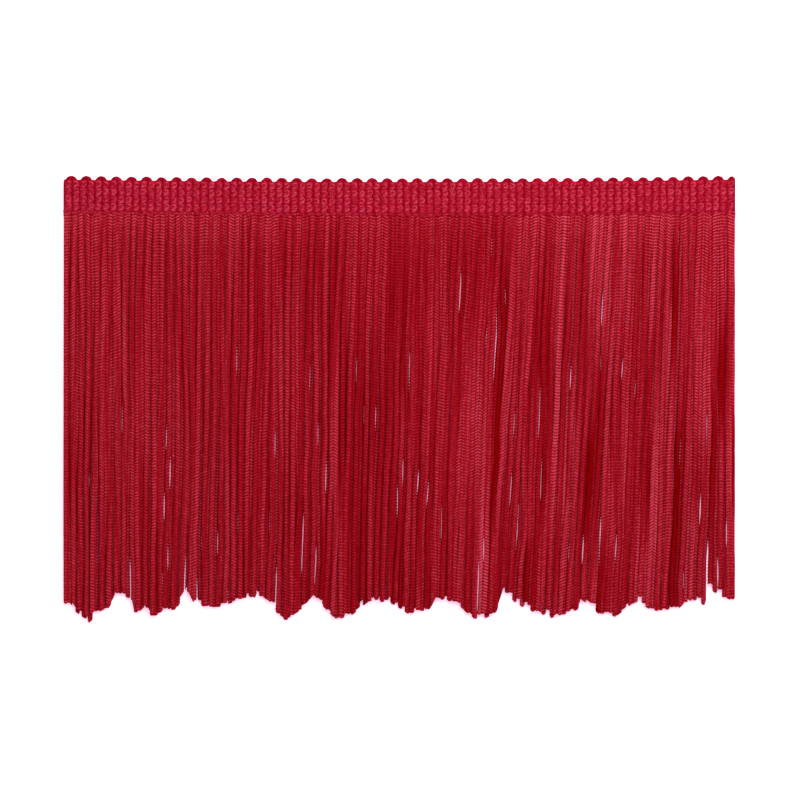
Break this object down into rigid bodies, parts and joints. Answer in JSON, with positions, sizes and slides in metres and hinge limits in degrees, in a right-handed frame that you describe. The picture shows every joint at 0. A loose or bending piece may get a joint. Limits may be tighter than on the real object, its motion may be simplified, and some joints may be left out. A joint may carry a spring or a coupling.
{
  "type": "length of fringe trim",
  "caption": "Flat length of red chainette fringe trim: a ribbed, knitted heading with a picot edge, and long chain-knitted cords hanging from it in two rows to an uneven hem.",
  "frame": {"origin": "middle of the heading's flat back, half way along the trim", "axes": "+X along the trim, +Y up its face from the hem towards the picots, +Z out of its face. It lies on its back on the plane Z = 0, with its cords along -Y"},
  "size_m": [0.2354, 0.1553, 0.0031],
  "materials": {
    "heading_yarn": "red rayon-like yarn, crochet-knitted in ribs, with a soft sheen",
    "cord_yarn": "red rayon-like yarn, chain-knitted into round cords, with a soft sheen"
  },
  "bodies": {
    "root": {"heading": "heading_yarn", "fringe_front": "cord_yarn", "fringe_back": "cord_yarn"}
  },
  "joints": []
}
